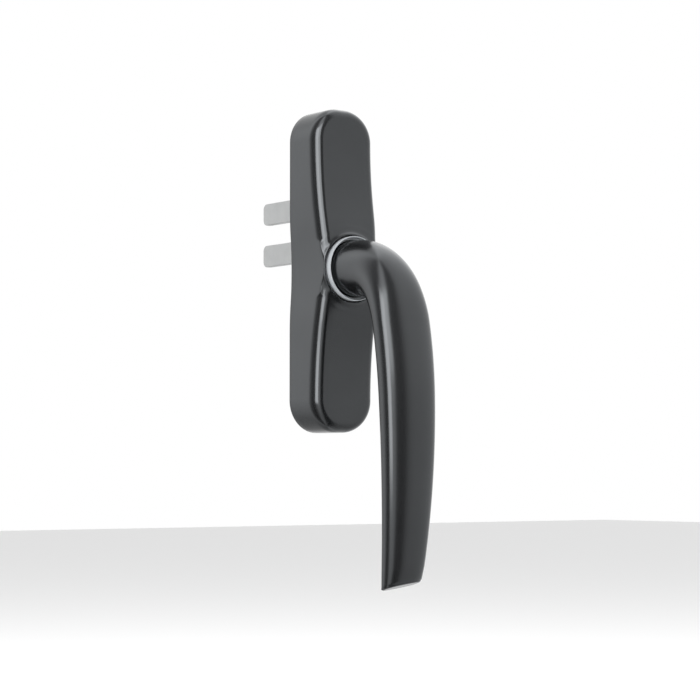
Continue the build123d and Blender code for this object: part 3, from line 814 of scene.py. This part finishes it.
# ---- camera: from the handle's left and slightly from below; lengths in metres ----
CAMERA_AZIMUTH, CAMERA_ELEVATION = radians(-37.25), radians(-3.36)
CAMERA_DISTANCE = 0.98984
CAMERA_TARGET = Vector((0.01812, 0.0, -0.03530))
back = Vector(
    (
        sin(CAMERA_AZIMUTH) * cos(CAMERA_ELEVATION),
        -cos(CAMERA_AZIMUTH) * cos(CAMERA_ELEVATION),
        sin(CAMERA_ELEVATION),
    )
)
camera_data = bpy.data.cameras.new("camera")
camera_data.lens = 108
camera_data.sensor_width = 36
camera_data.clip_start = 0.01
camera_data.clip_end = 50
camera = bpy.data.objects.new("camera", camera_data)
camera.location = CAMERA_TARGET + CAMERA_DISTANCE * back
camera.rotation_mode = "QUATERNION"
camera.rotation_quaternion = (-back).to_track_quat("-Z", "Y")
bpy.context.scene.collection.objects.link(camera)
bpy.context.scene.camera = camera

# ---- light ----
bpy.context.scene.view_settings.view_transform = "Standard"


def add_softbox(name, target, compass, rise, distance, size, watts, in_gloss=True):
    """A rectangular light that faces the target from this compass direction and elevation.

    compass runs from -X through the room side, in degrees, as the studio's tones do. Lengths are
    in metres, and size is the width and height.
    """
    data = bpy.data.lights.new(name, "AREA")
    data.shape = "RECTANGLE"
    data.size, data.size_y = size
    data.energy = watts
    light = bpy.data.objects.new(name, data)
    c, e = radians(compass), radians(rise)
    away = Vector((-cos(c) * cos(e), -sin(c) * cos(e), sin(e)))
    light.location = Vector(target) + away * distance
    light.rotation_mode = "QUATERNION"
    light.rotation_quaternion = away.to_track_quat("Z", "Y")
    light.visible_camera = False
    light.visible_glossy = in_gloss
    bpy.context.scene.collection.objects.link(light)


add_softbox(
    "side_softbox",
    target=(0, 0, 0.5),
    compass=34.0,
    rise=0.0,
    distance=1.5,
    size=(0.84, 1.58),
    watts=9.4,
)
add_softbox(
    "front_softbox",
    target=(0, 0, 0.87),
    compass=63.0,
    rise=0.0,
    distance=1.5,
    size=(0.75, 1.3),
    watts=4.0,
)
add_softbox(
    "top_softbox",
    target=(0, 0, 0),
    compass=90.0,
    rise=90.0,
    distance=1.2,
    size=(2.0, 2.0),
    watts=26.0,
    in_gloss=False,
)

# The studio's walls are the world: a brightness for each compass direction, in degrees from -X
# through the room side at 90 to +X at 180, with a little more light from above than from below.
STUDIO_TONES = (
    (14, 0.16),
    (40, 0.8),
    (66, 0.8),
    (82, 0.16),
    (110, 0.13),
    (124, 0.5),
    (150, 0.6),
    (185, 0.85),
    (222, 1.3),
    (245, 0.6),
    (285, 0.6),
    (306, 0.95),
    (326, 0.4),
    (345, 0.16),
)
BELOW, ABOVE = 0.6, 1.4  # shares of a tone from about 40 degrees under and over the horizon
RISE_RANGE = 0.64  # sine of that elevation
WHITE = 1.0  # how bright the empty background looks
world = bpy.data.worlds.new("studio")
bpy.context.scene.world = world
world.use_nodes = True
sky = world.node_tree
sky.nodes.clear()


def sky_math(operation, *values):
    """A math node on the world's tree. A value is a number or a socket."""
    node = sky.nodes.new("ShaderNodeMath")
    node.operation = operation
    for socket, value in zip(node.inputs, values):
        if isinstance(value, bpy.types.NodeSocket):
            sky.links.new(value, socket)
        else:
            socket.default_value = value
    return node.outputs["Value"]


def compass_tone(split):
    """The tone for a direction's compass angle."""
    # The arctangent runs from 0 at +X, through the room side at -90 degrees, to -180 at -X.
    turn_share = sky_math("ARCTAN2", split.outputs["Y"], split.outputs["X"])
    turn_share = sky_math("MULTIPLY_ADD", turn_share, 1 / (2 * pi), 1.5)
    turn_share = sky_math("FRACT", turn_share)
    ramp = sky.nodes.new("ShaderNodeValToRGB")
    stops = [(compass / 360, tone) for compass, tone in STUDIO_TONES]
    stops.append((1.0, STUDIO_TONES[0][1]))
    elements = ramp.color_ramp.elements
    while len(elements) < len(stops):
        elements.new(0.5)
    for element, (where, tone) in zip(elements, stops):
        element.position = where
        element.color = (tone, tone, tone, 1)
    sky.links.new(turn_share, ramp.inputs["Fac"])
    return ramp.outputs["Color"]


def rise_share(split):
    """The share of a tone that a direction's elevation leaves."""
    node = sky.nodes.new("ShaderNodeMapRange")
    node.inputs["From Min"].default_value = -RISE_RANGE
    node.inputs["From Max"].default_value = RISE_RANGE
    node.inputs["To Min"].default_value = BELOW
    node.inputs["To Max"].default_value = ABOVE
    sky.links.new(split.outputs["Z"], node.inputs["Value"])
    return node.outputs["Result"]


direction = sky.nodes.new("ShaderNodeTexCoord")
direction_split = sky.nodes.new("ShaderNodeSeparateXYZ")
sky.links.new(direction.outputs["Generated"], direction_split.inputs["Vector"])
wall_light = sky_math("MULTIPLY", compass_tone(direction_split), rise_share(direction_split))
seen_by_camera = sky.nodes.new("ShaderNodeLightPath").outputs["Is Camera Ray"]
not_seen = sky_math("SUBTRACT", 1.0, seen_by_camera)
empty_light = sky_math("MULTIPLY", seen_by_camera, WHITE)
strength = sky_math("MULTIPLY_ADD", wall_light, not_seen, empty_light)
background = sky.nodes.new("ShaderNodeBackground")
background.inputs["Color"].default_value = (1, 1, 1, 1)
sky.links.new(strength, background.inputs["Strength"])
out = sky.nodes.new("ShaderNodeOutputWorld")
sky.links.new(background.outputs["Background"], out.inputs["Surface"])
